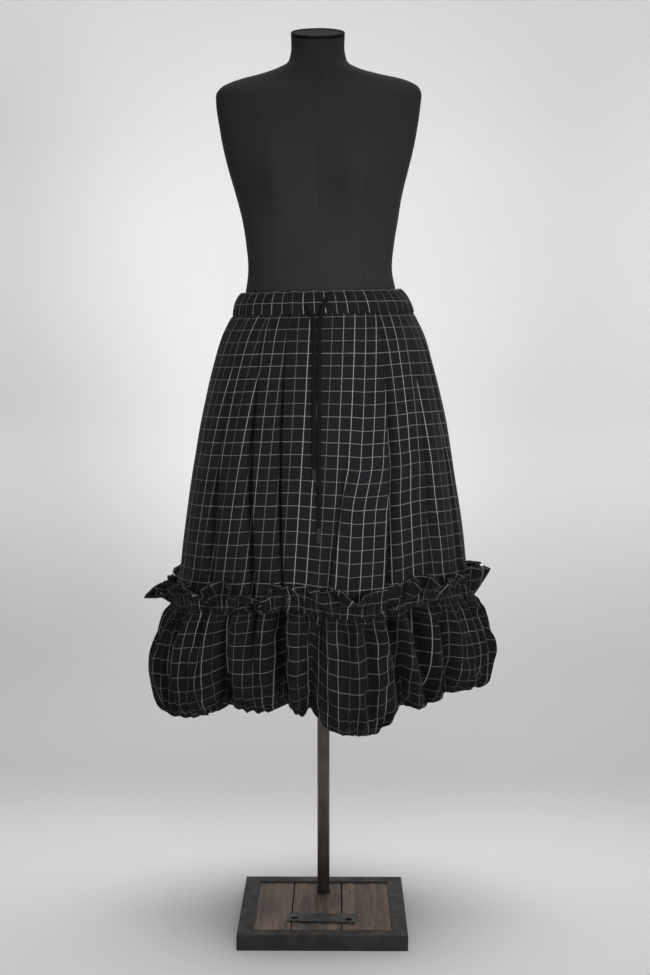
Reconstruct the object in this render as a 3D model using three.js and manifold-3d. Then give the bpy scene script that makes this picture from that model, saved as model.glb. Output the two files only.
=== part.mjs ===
// A gathered check skirt with a frilled bubble hem, worn by a limbless dress form on a square stand.
// Millimetres, +Z up, front towards -Y, +X to the wearer's left. The origin is on the floor under the pole.
import * as THREE from 'three';
import { mergeVertices } from 'three/addons/utils/BufferGeometryUtils.js';
import Module from 'manifold-3d';

const wasm = await Module();
wasm.setup();

// ---- driving dimensions -------------------------------------------------------------------------

const gap = 0.3; // clearance between pieces that touch

// stand
const baseSide = 300;
const baseHeight = 28;
const flangeWidth = 28;
const steelThickness = 3;
const poleToFront = 226; // the pole stands behind the middle of the base
const plateThickness = 4;
const boardGaps = [-56, 34]; // where the three boards meet, along X
const boardGapWidth = 2;
const poleRadius = 11.5;
const poleTop = 1000;
const collar = { radius: 13, height: 3.5, bevel: 1 };
const nameplate = { width: 122, depth: 40, thickness: 2.5, x: -1.5, y: -139, turn: -4 };
const fixing = { width: 11, depth: 14, height: 2, inset: 12 };

// dress form
const formBottom = 880;
const formSides = 40;
const neckRadius = 48.5;
const neckTilt = 19.5; // degrees the top of the neck leans forward
const neckFoot = { height: 1578, tilt: 4, radius: 49.5 };
const neckTop = 1618;
const neckCap = { thickness: 6, bulge: 0.5, bulgeAt: 0.6, rounding: 3 };
const bust = { height: 1338, side: 72, reach: 24, spreadX: 46, spreadZ: 58 };

// skirt
const clothThickness = 2;
const frillThickness = 1.5;
const bandThickness = 5.5; // two layers of gathered cloth over elastic
const waistHeight = 1112; // where the waistband is sewn to the skirt
const bandTop = 1154;
const waistTilt = { right: 3.5, front: -3 }; // the waist rides a little higher on one side
const bandLean = -4.5; // its top sits to one side, as the form does
const bandRipples = 44;
const bandRipple = 1.2;
const panelColumns = 40; // facets round each half of the skirt
const panelRows = 7; // facets from the seam to the waist
const sideSeam = 0.08; // degrees left open on each side of an upright seam
const bubbleHeight = 200; // from the gathering seam down to the level where the hem is full
const notchHeight = 436; // how high the hem is between two puffs
const puffRoundness = 2.4; // 2 is an ellipse from notch to notch, and more is fuller
const notchSwell = 0.55; // share of a puff's swell that is left at its notches
const frill = {
  height: 48,
  uneven: 0.08, // share by which its height varies
  clearance: 0.8, // off the panel at the seam, where the folds' flanks are steep
  flare: 10,
  wave: 6,
  bow: 2.5,
  waves: 26, // all round
  drift: 40, // degrees by which the waves crowd and spread
};

// drawstring
const tape = { width: 7.4, thickness: 2.2, shoulder: 0.4, corner: 0.7 };
const tapeTip = { width: 7.8, thickness: 2.8 };
const tapeStep = 18; // a facet about every so many millimetres

// ---- tables -------------------------------------------------------------------------------------

// The torso, level by level: half width, reach to the front and back, sideways lean, squareness.
const formSections = [
  { z: 880, half: 150, front: 96, back: 104, lean: -3, square: 2.1 },
  { z: 900, half: 167, front: 106, back: 117, lean: -3, square: 2.2 },
  { z: 950, half: 173, front: 110, back: 124, lean: -3, square: 2.2 },
  { z: 1010, half: 170, front: 110, back: 121, lean: -4, square: 2.2 },
  { z: 1070, half: 158, front: 104, back: 108, lean: -4, square: 2.2 },
  { z: 1112, half: 144, front: 96, back: 96, lean: -4, square: 2 },
  { z: 1150, half: 137.9, front: 91.4, back: 89.9, lean: -4.5, square: 2 },
  { z: 1190, half: 131.5, front: 88, back: 85, lean: -6, square: 2 },
  { z: 1239, half: 135, front: 89, back: 87, lean: -6, square: 2.2 },
  { z: 1283, half: 142, front: 92, back: 92, lean: -6, square: 2.3 },
  { z: 1326, half: 151, front: 94, back: 97, lean: -8, square: 2.4 },
  { z: 1369, half: 162.5, front: 92, back: 101, lean: -9, square: 2.5 },
  { z: 1412, half: 173, front: 85, back: 102, lean: -9, square: 2.6 },
  { z: 1455, half: 180.5, front: 74, back: 98, lean: -9, square: 2.7 },
  { z: 1490, half: 185, front: 63, back: 88, lean: -9, square: 2.8 },
  { z: 1508, half: 185, front: 56, back: 78, lean: -8, square: 2.8 },
  { z: 1519, half: 178, front: 51, back: 70, lean: -6, square: 2.6 },
  { z: 1530, half: 156, front: 47, back: 63, lean: -4, square: 2.4 },
  { z: 1541, half: 112, front: 46, back: 57, lean: -7, square: 2.2 },
  { z: 1551, half: 78, front: 48, back: 53, lean: -10, square: 2 },
  { z: 1563, half: 55, front: 50, back: 51, lean: -10, square: 2 },
];

// The smooth outside of the skirt between the waistband and the gathering seam.
const skirtSections = [
  { z: 588, half: 282, front: 213, back: 207 },
  { z: 640, half: 269, front: 206, back: 201 },
  { z: 700, half: 261, front: 200, back: 196 },
  { z: 780, half: 250, front: 191, back: 188 },
  { z: 860, half: 237, front: 180, back: 178 },
  { z: 940, half: 222, front: 166, back: 166 },
  { z: 1019, half: 203, front: 148, back: 151 },
  { z: 1074, half: 186, front: 132, back: 137 },
  { z: 1112, half: 167, front: 117, back: 120 },
];

// Hanging folds: angle from centre front at the waist and at the gathering seam, width in degrees,
// depth, and the heights where each one starts and is full.
const folds = [
  { waist: -60, seam: -52, width: 5, depth: 12, start: 980, full: 760 },
  { waist: -41, seam: -25, width: 6, depth: 30, start: 1090, full: 720 },
  { waist: -25, seam: -15.5, width: 4, depth: 12, start: 1100, full: 900 },
  { waist: 14, seam: 2, width: 5, depth: 12, start: 870, full: 700 },
  { waist: 39, seam: 24.5, width: 4.5, depth: 15, start: 1100, full: 800 },
  { waist: 57, seam: 45, width: 5, depth: 11, start: 1060, full: 800 },
  { waist: 74, seam: 67, width: 5, depth: 12, start: 1040, full: 760 },
  { waist: 106, seam: 112, width: 6, depth: 18, start: 1080, full: 740 },
  { waist: 128, seam: 137, width: 5, depth: 14, start: 1060, full: 800 },
  { waist: 150, seam: 156, width: 6, depth: 24, start: 1095, full: 720 },
  { waist: 173, seam: 177, width: 5, depth: 12, start: 1020, full: 800 },
  { waist: 197, seam: 192, width: 5, depth: 16, start: 1090, full: 780 },
  { waist: 219, seam: 212, width: 6, depth: 26, start: 1080, full: 720 },
  { waist: 242, seam: 236, width: 5, depth: 14, start: 1060, full: 800 },
  { waist: 260, seam: 256, width: 5, depth: 12, start: 1000, full: 760 },
];

// Height of the gathering seam round the skirt, by angle from centre front.
const seamLine = [
  { angle: -90, z: 580 },
  { angle: -47, z: 585 },
  { angle: -10, z: 597 },
  { angle: 8, z: 581 },
  { angle: 20, z: 584 },
  { angle: 38, z: 602 },
  { angle: 90, z: 597 },
  { angle: 150, z: 586 },
  { angle: 205, z: 594 },
  { angle: 270, z: 580 },
];

// Puffs of the bubble hem: where each begins and ends, how far it swells and how low it hangs.
const puffs = [
  { from: -100, to: -37, swell: 46, low: 382 },
  { from: -37, to: -13.5, swell: 33, low: 412 },
  { from: -13.5, to: -4, swell: 31, low: 412 },
  { from: -4, to: 29, swell: 44, low: 376 },
  { from: 29, to: 51, swell: 37, low: 413 },
  { from: 51, to: 93, swell: 45, low: 430 },
  { from: 93, to: 128, swell: 43, low: 398 },
  { from: 128, to: 150, swell: 36, low: 412 },
  { from: 150, to: 189, swell: 45, low: 386 },
  { from: 189, to: 212, swell: 36, low: 408 },
  { from: 212, to: 260, swell: 45, low: 390 },
];

// The bubble's profile from its turned-under edge out and up to the seam: out in swells, down in heights.
const bubbleProfile = [
  { out: -0.95, down: 0.7 },
  { out: -0.62, down: 0.9 },
  { out: -0.15, down: 1 },
  { out: 0.4, down: 0.98 },
  { out: 0.82, down: 0.86 },
  { out: 1, down: 0.66 },
  { out: 0.94, down: 0.45 },
  { out: 0.7, down: 0.25 },
  { out: 0.36, down: 0.08 },
  { out: 0, down: 0 },
];

// The waistband's outside from its seam, row 0, to its top, row 1.
const bandProfile = [
  { row: 0, half: 166, front: 116, back: 119 },
  { row: 0.55, half: 159, front: 110, back: 112 },
  { row: 1, half: 145.5, front: 98.5, back: 97 },
];

// The two hanging ends of the drawstring, from the waistband down the front of the skirt.
const leftStrand = [
  [-30, -113.3, 1127],
  [-27, -115.9, 1121],
  [-22.5, -118.7, 1113],
  [-18.5, -121.7, 1104],
  [-16.5, -125.9, 1092],
  [-15.5, -134.1, 1068],
  [-15, -144.2, 1037],
  [-15, -153.7, 1000],
  [-15, -162.6, 962],
  [-14.8, -171, 920],
  [-14.5, -178.8, 878],
  [-14.5, -184.7, 840],
];
const rightStrand = [
  [9, -106.2, 1142],
  [6.5, -110.7, 1135],
  [3, -115.4, 1126],
  [-1, -118.8, 1114],
  [-4, -122.3, 1104],
  [-5.5, -126.6, 1091],
  [-6, -136.4, 1062],
  [-6, -147.4, 1027],
  [-6, -156.8, 989],
  [-6, -165.7, 950],
  [-6, -174.1, 905],
  [-6, -181.6, 860],
  [-6, -188.3, 813],
  [-6.3, -194, 766],
  [-6.5, -196.6, 739],
];
const tipLength = { left: 18, right: 26 };

// ---- materials ----------------------------------------------------------------------------------

const finish = (color, roughness, metalness = 0) =>
  new THREE.MeshStandardMaterial({ color, roughness, metalness });

const checkCloth = finish(0x1c1c21, 0.85);
const frillCloth = finish(0x1a1a1e, 0.88);
const tapeCloth = finish(0x141415, 0.8);
const tipFilm = finish(0x3a3b3c, 0.5);
const jersey = finish(0x303131, 0.9);
const neckSatin = finish(0x29292c, 0.6);
const darkSteel = finish(0x4a4643, 0.5, 0.8);
const blackSteel = finish(0x1d1c1c, 0.55, 0.6);
const darkWood = finish(0x5b4d47, 0.7);

// ---- helpers ------------------------------------------------------------------------------------

const radians = THREE.MathUtils.degToRad;
const mix = THREE.MathUtils.lerp;
const smooth = THREE.MathUtils.smoothstep;

function blendRows(rows, key, value, name) {
  // straight-line value of one column between the two rows on either side
  const last = rows.length - 1;
  let i = 0;
  while (i < last - 1 && value > rows[i + 1][key]) i += 1;
  const a = rows[i];
  const b = rows[i + 1];
  const share = THREE.MathUtils.clamp((value - a[key]) / (b[key] - a[key]), 0, 1);
  return mix(a[name], b[name], share);
}

function spread(from, to, count) {
  return Array.from({ length: count + 1 }, (_, i) => mix(from, to, i / count));
}

function wrap(angle) {
  // any angle brought to -90..270 degrees
  return ((((angle + 90) % 360) + 360) % 360) - 90;
}

function apart(a, b) {
  // the short way round from b to a, in degrees
  return ((((a - b + 180) % 360) + 360) % 360) - 180;
}

function solidOf(points, faces) {
  const geometry = new THREE.BufferGeometry();
  geometry.setAttribute('position', new THREE.Float32BufferAttribute(points.flat(), 3));
  geometry.setIndex(faces.flat());
  return geometry;
}

function stitch(faces, a, b, c, d) {
  faces.push([a, b, c], [a, c, d]);
}

function loft(rings) {
  // rings run upwards, each anticlockwise from above; both ends are closed by a fan
  const count = rings[0].length;
  const points = rings.flat();
  const faces = [];
  for (let i = 0; i < rings.length - 1; i += 1) {
    for (let j = 0; j < count; j += 1) {
      const k = (j + 1) % count;
      stitch(faces, i * count + j, i * count + k, (i + 1) * count + k, (i + 1) * count + j);
    }
  }
  for (const [ring, top] of [[0, false], [rings.length - 1, true]]) {
    const middle = rings[ring][0].map((_, axis) =>
      rings[ring].reduce((sum, point) => sum + point[axis], 0) / count);
    const centre = points.push(middle) - 1;
    for (let j = 0; j < count; j += 1) {
      const a = ring * count + j;
      const b = ring * count + ((j + 1) % count);
      faces.push(top ? [a, b, centre] : [b, a, centre]);
    }
  }
  return solidOf(points, faces);
}

function outward(surface, angle, row) {
  // unit normal of surface(angle, row), from small steps each way
  const step = { angle: 0.6, row: 0.02 };
  const at = (a, r) => new THREE.Vector3(...surface(a, r));
  const round = at(angle + step.angle, row).sub(at(angle - step.angle, row));
  const up = at(angle, row + step.row).sub(at(angle, row - step.row));
  return round.cross(up).normalize();
}

function cloth(surface, angles, rows, thickness, closed = false) {
  // a wall of even thickness behind surface(angle, row), with rows running upwards on the outside
  const count = angles.length;
  const grid = rows.flatMap((row) => angles.map((angle) => [angle, row]));
  const outer = grid.map(([angle, row]) => surface(angle, row));
  const inner = grid.map(([angle, row], i) => {
    const normal = outward(surface, angle, row);
    return new THREE.Vector3(...outer[i]).addScaledVector(normal, -thickness).toArray();
  });
  const inside = outer.length;
  const faces = [];
  const columns = closed ? count : count - 1;
  for (let i = 0; i < rows.length - 1; i += 1) {
    for (let j = 0; j < columns; j += 1) {
      const k = (j + 1) % count;
      const [a, b, c, d] = [i * count + j, i * count + k, (i + 1) * count + k, (i + 1) * count + j];
      stitch(faces, a, b, c, d);
      stitch(faces, d + inside, c + inside, b + inside, a + inside);
    }
    if (!closed) {
      const [a, d] = [i * count, (i + 1) * count];
      stitch(faces, a + inside, a, d, d + inside);
      stitch(faces, a + count - 1, a + count - 1 + inside, d + count - 1 + inside, d + count - 1);
    }
  }
  const top = (rows.length - 1) * count;
  for (let j = 0; j < columns; j += 1) {
    const k = (j + 1) % count;
    stitch(faces, j + inside, k + inside, k, j);
    stitch(faces, top + j, top + k, top + k + inside, top + j + inside);
  }
  return solidOf([...outer, ...inner], faces);
}

function manifoldOf(geometry) {
  const bare = geometry.clone();
  bare.deleteAttribute('normal');
  bare.deleteAttribute('uv');
  const merged = mergeVertices(bare, 1e-4);
  return new wasm.Manifold(new wasm.Mesh({
    numProp: 3,
    vertProperties: new Float32Array(merged.attributes.position.array),
    triVerts: new Uint32Array(merged.index.array),
  }));
}

function cut(geometry, tool) {
  const mesh = manifoldOf(geometry).subtract(manifoldOf(tool)).getMesh();
  const result = new THREE.BufferGeometry();
  result.setAttribute('position', new THREE.BufferAttribute(mesh.vertProperties, 3));
  result.setIndex(new THREE.BufferAttribute(mesh.triVerts, 1));
  return result;
}

function box(width, depth, height, x, y, bottom) {
  return new THREE.BoxGeometry(width, depth, height).translate(x, y, bottom + height / 2);
}

function rod(radius, height, bottom, sides = 32) {
  return new THREE.CylinderGeometry(radius, radius, height, sides)
    .rotateX(Math.PI / 2)
    .translate(0, 0, bottom + height / 2);
}

const part = new THREE.Group();

function add(name, geometry, material) {
  const mesh = new THREE.Mesh(geometry, material);
  mesh.name = name;
  part.add(mesh);
  return mesh;
}

// ---- stand --------------------------------------------------------------------------------------

const baseMiddle = baseSide / 2 - poleToFront;
const insideSide = baseSide - 2 * (steelThickness + gap);
const boardTop = baseHeight - steelThickness - gap;
const boardBottom = plateThickness + gap;

function angleFrame() {
  // an upright wall with a flange turned in along its top, mitred into a square
  const outline = [
    [baseSide / 2, 0],
    [baseSide / 2, baseHeight],
    [baseSide / 2 - flangeWidth, baseHeight],
    [baseSide / 2 - flangeWidth, baseHeight - steelThickness],
    [baseSide / 2 - steelThickness, baseHeight - steelThickness],
    [baseSide / 2 - steelThickness, 0],
  ];
  const points = [];
  const faces = [];
  for (const [sx, sy] of [[1, -1], [1, 1], [-1, 1], [-1, -1]]) {
    for (const [reach, z] of outline) points.push([sx * reach, baseMiddle + sy * reach, z]);
  }
  const corners = outline.length;
  for (let side = 0; side < 4; side += 1) {
    const next = (side + 1) % 4;
    for (let i = 0; i < corners; i += 1) {
      const j = (i + 1) % corners;
      stitch(faces, side * corners + i, next * corners + i, next * corners + j, side * corners + j);
    }
  }
  return solidOf(points, faces);
}

function board(left, right, drilled) {
  const plank = box(right - left, insideSide, boardTop - boardBottom, (left + right) / 2,
    baseMiddle, boardBottom);
  return drilled ? cut(plank, rod(poleRadius + gap, baseHeight * 2, 0)) : plank;
}

function footRing() {
  const { radius, height, bevel } = collar;
  const profile = [
    [poleRadius + gap, 0],
    [radius, 0],
    [radius, height - bevel],
    [radius - bevel, height],
    [poleRadius + gap, height],
    [poleRadius + gap, 0],
  ].map(([r, z]) => new THREE.Vector2(r, z));
  return new THREE.LatheGeometry(profile, 32).rotateX(Math.PI / 2).translate(0, 0, boardTop + gap);
}

function makeStand() {
  const half = insideSide / 2;
  const [leftGap, rightGap] = boardGaps;
  const halfGap = boardGapWidth / 2;
  add('base_frame', angleFrame(), darkSteel);
  add('base_plate', box(insideSide, insideSide, plateThickness, 0, baseMiddle, 0), blackSteel);
  add('board_left', board(-half, leftGap - halfGap, false), darkWood);
  add('board_middle', board(leftGap + halfGap, rightGap - halfGap, true), darkWood);
  add('board_right', board(rightGap + halfGap, half, false), darkWood);
  add('pole', rod(poleRadius, poleTop - boardBottom, boardBottom), darkSteel);
  add('pole_collar', footRing(), darkSteel);

  const plate = new THREE.Group();
  const { width, depth, thickness } = nameplate;
  const plateMesh = add('nameplate', box(width, depth, thickness, 0, 0, 0), blackSteel);
  plate.add(plateMesh);
  for (const [name, side] of [['left', -1], ['right', 1]]) {
    const x = side * (width / 2 - fixing.inset);
    const peg = box(fixing.width, fixing.depth, fixing.height, x, 0, thickness + gap);
    plate.add(add(`nameplate_fixing_${name}`, peg, blackSteel));
  }
  plate.position.set(nameplate.x, nameplate.y, boardTop + gap);
  plate.rotation.z = radians(nameplate.turn);
  part.add(plate);
}

// ---- dress form ---------------------------------------------------------------------------------

function formRing(row, count) {
  // a rounded oblong: squareness 2 is an ellipse, and more is fuller at the corners
  return spread(0, 360, count).slice(0, count).map((degrees) => {
    const s = Math.sin(radians(degrees));
    const c = Math.cos(radians(degrees));
    const fuller = (Math.abs(s) ** row.square + Math.abs(c) ** row.square) ** (-1 / row.square);
    const x = row.half * s * fuller;
    const nearest = Math.abs(Math.abs(x) - bust.side) / bust.spreadX;
    const high = (row.z - bust.height) / bust.spreadZ;
    const swell = c > 0 ? bust.reach * Math.exp(-(nearest ** 2) - high ** 2) : 0;
    const y = c > 0 ? -row.front * c * fuller - swell * Math.min(1, 3 * c) : -row.back * c * fuller;
    return [row.lean + x, y, row.z];
  });
}

function neckRing(radius, height, tilt, count) {
  // a circle whose plane leans forward
  const lean = formSections.at(-1).lean;
  return spread(0, 360, count).slice(0, count).map((degrees) => {
    const x = radius * Math.sin(radians(degrees));
    const y = -radius * Math.cos(radians(degrees));
    return [lean + x, y, height + y * Math.tan(radians(tilt))];
  });
}

function makeForm() {
  const { thickness, bulge, bulgeAt, rounding } = neckCap;
  const rings = formSections.map((section) => formRing(section, formSides));
  rings.push(neckRing(neckFoot.radius, neckFoot.height, neckFoot.tilt, formSides));
  rings.push(neckRing(neckRadius, neckTop - thickness, neckTilt, formSides));
  const torso = loft(rings);
  const below = formBottom - thickness; // the socket's tool starts clear under the torso
  const socket = rod(poleRadius + gap, poleTop + gap - below, below);
  add('dress_form', cut(torso, socket), jersey);

  const capBottom = neckTop - thickness + gap;
  const cap = loft([
    neckRing(neckRadius, capBottom, neckTilt, formSides),
    neckRing(neckRadius + bulge, capBottom + thickness * bulgeAt, neckTilt, formSides),
    neckRing(neckRadius - rounding, capBottom + thickness, neckTilt, formSides),
  ]);
  add('neck_cap', cap, neckSatin);
}

// ---- skirt --------------------------------------------------------------------------------------

function tilt(angle) {
  return waistTilt.right * Math.sin(radians(angle)) + waistTilt.front * Math.cos(radians(angle));
}

function oval(angle, half, front, back) {
  const depth = Math.cos(radians(angle)) > 0 ? front : back;
  return [half * Math.sin(radians(angle)), -depth * Math.cos(radians(angle))];
}

function ovalNormal(angle, half, front, back) {
  const depth = Math.cos(radians(angle)) > 0 ? front : back;
  const across = Math.sin(radians(angle)) / half;
  const along = -Math.cos(radians(angle)) / depth;
  return new THREE.Vector2(across, along).normalize().toArray();
}

function movedOut(angle, half, front, back, reach) {
  // a point of the oval moved straight out from it by reach
  const [x, y] = oval(angle, half, front, back);
  const [nx, ny] = ovalNormal(angle, half, front, back);
  return [x + reach * nx, y + reach * ny];
}

function foldDepth(angle, z) {
  const down = THREE.MathUtils.clamp((waistHeight - z) / (waistHeight - skirtSections[0].z), 0, 1);
  return folds.reduce((sum, fold) => {
    const middle = mix(fold.waist, fold.seam, down);
    const across = apart(angle, middle) / fold.width;
    const deep = 1 - smooth(z, fold.full, fold.start);
    return sum + fold.depth * deep * Math.exp(-(across ** 2));
  }, 0);
}

function skirtPoint(angle, z, out) {
  const at = (name) => blendRows(skirtSections, 'z', z, name);
  return movedOut(angle, at('half'), at('front'), at('back'), out - foldDepth(angle, z));
}

function seamHeight(angle) {
  return blendRows(seamLine, 'angle', wrap(angle), 'z');
}

function bodySurface(angle, row) {
  // row 0 is the gathering seam and 1 is the waistband
  const bottom = seamHeight(angle) + gap / 2;
  const top = waistHeight - gap + tilt(angle);
  const z = mix(bottom, top, row);
  return [...skirtPoint(angle, Math.min(z, waistHeight), 0), z];
}

function panelPoint(angle, z) {
  // the point at height z on the flat facets between the skirt panel's columns and its two lowest rows
  const start = Math.cos(radians(angle)) > 0 ? -90 : 90;
  const step = 180 / panelColumns;
  const column = Math.floor((wrap(angle) - start) / step);
  const share = (wrap(angle) - start) / step - column;
  const [left, right] = [start + column * step, start + (column + 1) * step].map((edge) => {
    const low = bodySurface(edge, 0);
    const high = bodySurface(edge, 1 / panelRows);
    const up = (z - low[2]) / (high[2] - low[2]);
    return [mix(low[0], high[0], up), mix(low[1], high[1], up)];
  });
  return [mix(left[0], right[0], share), mix(left[1], right[1], share)];
}

function bandSurface(angle, row) {
  const height = mix(waistHeight + gap, bandTop, row);
  const at = (name) => blendRows(bandProfile, 'row', row, name);
  const ripple = bandRipple * Math.cos(radians(angle * bandRipples));
  const [x, y] = movedOut(angle, at('half'), at('front'), at('back'), ripple);
  return [x + bandLean * row, y, height + tilt(angle)];
}

function puffAt(angle) {
  const turned = angle < puffs[0].from ? angle + 360 : angle > puffs.at(-1).to ? angle - 360 : angle;
  const puff = puffs.find((row) => turned >= row.from && turned <= row.to);
  const across = Math.abs((2 * (turned - puff.from)) / (puff.to - puff.from) - 1);
  const round = Math.sqrt(Math.max(0, 1 - across ** puffRoundness));
  return { round, swell: puff.swell, low: puff.low };
}

function bubbleSurface(angle, row) {
  // row 0 is the turned-under edge and 1 is the gathering seam
  const { round, swell, low } = puffAt(wrap(angle));
  const place = row * (bubbleProfile.length - 1);
  const index = bubbleProfile.map((point, i) => ({ ...point, i }));
  const out = blendRows(index, 'i', place, 'out') * mix(swell * notchSwell, swell, round);
  const down = blendRows(index, 'i', place, 'down');
  const seam = seamHeight(angle) - gap / 2;
  const hem = mix(notchHeight, low, round);
  const fullness = THREE.MathUtils.clamp(1 - (down * (seam - hem)) / bubbleHeight, 0, 1);
  const [x, y] = skirtPoint(angle, skirtSections[0].z, 0);
  const [sx, sy] = movedOut(angle, skirtSections[0].half, skirtSections[0].front,
    skirtSections[0].back, out);
  const [bx, by] = movedOut(angle, skirtSections[0].half, skirtSections[0].front,
    skirtSections[0].back, 0);
  return [mix(bx, x, fullness) + sx - bx, mix(by, y, fullness) + sy - by, mix(seam, hem, down)];
}

function frillSurface(angle, row) {
  // a heading that stands up from the seam and waves in and out along its free edge
  const wave = Math.cos(radians(angle * frill.waves + frill.drift * Math.sin(radians(angle * 3))));
  const bow = frill.bow * Math.sin(Math.PI * row);
  const out = frillThickness + frill.clearance + row * (frill.flare + frill.wave * wave) + bow;
  const rise = frill.height * (1 + frill.uneven * Math.sin(radians(angle * 5)));
  const z = seamHeight(angle) + 2 * gap + row * rise;
  const bridging = row * 0.5 * foldDepth(angle, z);
  const [x, y] = panelPoint(angle, z);
  const [nx, ny] = ovalNormal(angle, skirtSections[0].half, skirtSections[0].front, skirtSections[0].back);
  return [x + (out + bridging) * nx, y + (out + bridging) * ny, z];
}

function stretch(start, width, count) {
  // the columns of a piece that begins at the angle start, with a seam left open at both ends
  return spread(start + sideSeam, start + width - sideSeam, count);
}

function makeSkirt() {
  const bandAngles = spread(-90, 270, bandRipples * 2).slice(0, -1);
  const bubbleRows = spread(0, 1, bubbleProfile.length - 1);
  add('waistband', cloth(bandSurface, bandAngles, [0, 0.55, 1], bandThickness, true), checkCloth);
  for (const [name, start] of [['front', -90], ['back', 90]]) {
    const angles = stretch(start, 180, panelColumns);
    const frillAngles = stretch(start, 180, panelColumns * 2);
    add(`skirt_${name}`, cloth(bodySurface, angles, spread(0, 1, panelRows), clothThickness), checkCloth);
    add(`frill_${name}`, cloth(frillSurface, frillAngles, spread(0, 1, 2), frillThickness), frillCloth);
  }
  const strips = [['front_left', -90], ['front_right', 0], ['back_right', 90], ['back_left', 180]];
  for (const [name, start] of strips) {
    const angles = stretch(start, 90, panelColumns / 2);
    add(`bubble_${name}`, cloth(bubbleSurface, angles, bubbleRows, clothThickness), checkCloth);
  }
}

// ---- drawstring ---------------------------------------------------------------------------------

function flatSection(alongNormal, alongBinormal) {
  // an eight-sided oblong with its corners cut off
  const { shoulder, corner } = tape;
  const outline = [
    [1, shoulder], [corner, 1], [-corner, 1], [-1, shoulder],
    [-1, -shoulder], [-corner, -1], [corner, -1], [1, -shoulder],
  ];
  return new THREE.Shape(outline.map(([x, y]) =>
    new THREE.Vector2((x * alongNormal) / 2, (y * alongBinormal) / 2)));
}

function tapeAlong(points, width, thickness) {
  // the path's first normal points forwards or sideways, and the tape lies with its width sideways
  const path = new THREE.CatmullRomCurve3(points.map((point) => new THREE.Vector3(...point)));
  const steps = Math.max(2, Math.round(path.getLength() / tapeStep));
  const normal = path.computeFrenetFrames(steps, false).normals[0];
  const section = Math.abs(normal.y) > Math.abs(normal.x)
    ? flatSection(thickness, width)
    : flatSection(width, thickness);
  return new THREE.ExtrudeGeometry(section, { extrudePath: path, steps });
}

function makeStrand(name, points, length) {
  add(`drawstring_${name}`, tapeAlong(points, tape.width, tape.thickness), tapeCloth);
  const end = new THREE.Vector3(...points.at(-1));
  const heading = end.clone().sub(new THREE.Vector3(...points.at(-2))).normalize();
  const start = end.clone().addScaledVector(heading, gap);
  const finishAt = end.clone().addScaledVector(heading, length);
  const tip = tapeAlong([start.toArray(), finishAt.toArray()], tapeTip.width, tapeTip.thickness);
  add(`drawstring_tip_${name}`, tip, tipFilm);
}

makeStand();
makeForm();
makeSkirt();
makeStrand('left', leftStrand, tipLength.left);
makeStrand('right', rightStrand, tipLength.right);

export default part;
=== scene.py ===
import math

import bpy
import numpy as np
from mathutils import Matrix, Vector


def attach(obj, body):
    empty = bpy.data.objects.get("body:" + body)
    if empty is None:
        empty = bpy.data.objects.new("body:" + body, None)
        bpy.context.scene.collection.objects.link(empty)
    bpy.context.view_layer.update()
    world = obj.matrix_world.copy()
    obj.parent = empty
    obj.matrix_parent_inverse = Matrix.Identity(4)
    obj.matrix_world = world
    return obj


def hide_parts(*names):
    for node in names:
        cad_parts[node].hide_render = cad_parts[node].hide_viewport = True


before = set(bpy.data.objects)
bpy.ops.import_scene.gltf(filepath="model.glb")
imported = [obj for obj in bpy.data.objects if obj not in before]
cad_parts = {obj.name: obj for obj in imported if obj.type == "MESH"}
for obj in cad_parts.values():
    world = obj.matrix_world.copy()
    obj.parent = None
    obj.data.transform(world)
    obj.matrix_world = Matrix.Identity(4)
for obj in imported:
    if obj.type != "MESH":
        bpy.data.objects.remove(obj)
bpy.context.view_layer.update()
mm = 0.001

# small tools


def through(x, xs, ys):
    # smooth curve through the points (xs, ys): cubic pieces with the slope at each point
    # taken from its two neighbours, and flat beyond the ends
    xs, ys = np.asarray(xs, float), np.asarray(ys, float)
    slope = np.gradient(ys, xs)
    x = np.clip(x, xs[0], xs[-1])
    i = np.clip(np.searchsorted(xs, x, side="right") - 1, 0, len(xs) - 2)
    wide = xs[i + 1] - xs[i]
    t = (x - xs[i]) / wide
    start = (1 + 2 * t) * (1 - t) ** 2 * ys[i] + t * (1 - t) ** 2 * wide * slope[i]
    end = t * t * (3 - 2 * t) * ys[i + 1] + t * t * (t - 1) * wide * slope[i + 1]
    return start + end


def ease(x, low, high):
    # 0 below low, 1 above high and 3t^2 - 2t^3 between
    t = np.clip((x - low) / (high - low), 0, 1)
    return t * t * (3 - 2 * t)


def mix(a, b, share):
    # a where share is 0, b where it is 1 and a straight line between
    return a + (b - a) * share


def wrapped(angle):
    # degrees brought to -90..270
    return (angle + 90) % 360 - 90


def apart(a, b):
    # short way round from b to a in degrees
    return (a - b + 180) % 360 - 180


def turns(angle, waves, seed):
    # uneven wave round the skirt: a sum of sines with whole numbers of waves per turn
    # near the one asked for, each with a random weight and phase
    random = np.random.default_rng(seed)
    total = 0
    for step in (-3, -2, -1, 0, 1, 2, 3):
        weight, phase = random.uniform(0.4, 1), random.uniform(0, 2 * np.pi)
        total = total + weight * np.sin((waves + step) * np.radians(angle) + phase)
    return total / 2.2


def table(names, *rows):
    # columns of a table by name
    return dict(zip(names.split(), np.array(rows, float).T))


def columnsAt(at, rows, first, *names):
    # smooth curves through the named columns of a table, by its first column
    return [through(at, rows[first], rows[name]) for name in names]


def eachRow(at, place, rows):
    # every row's value at one place or more, by straight lines
    return np.stack([np.interp(at, place, row) for row in rows])


def raised(plan, height):
    # points seen from above given their heights
    return np.concatenate([plan, height[..., None]], axis=-1)


def unit(vectors):
    # each vector divided by its own length
    return vectors / np.maximum(np.linalg.norm(vectors, axis=-1, keepdims=True), 1e-12)


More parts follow.
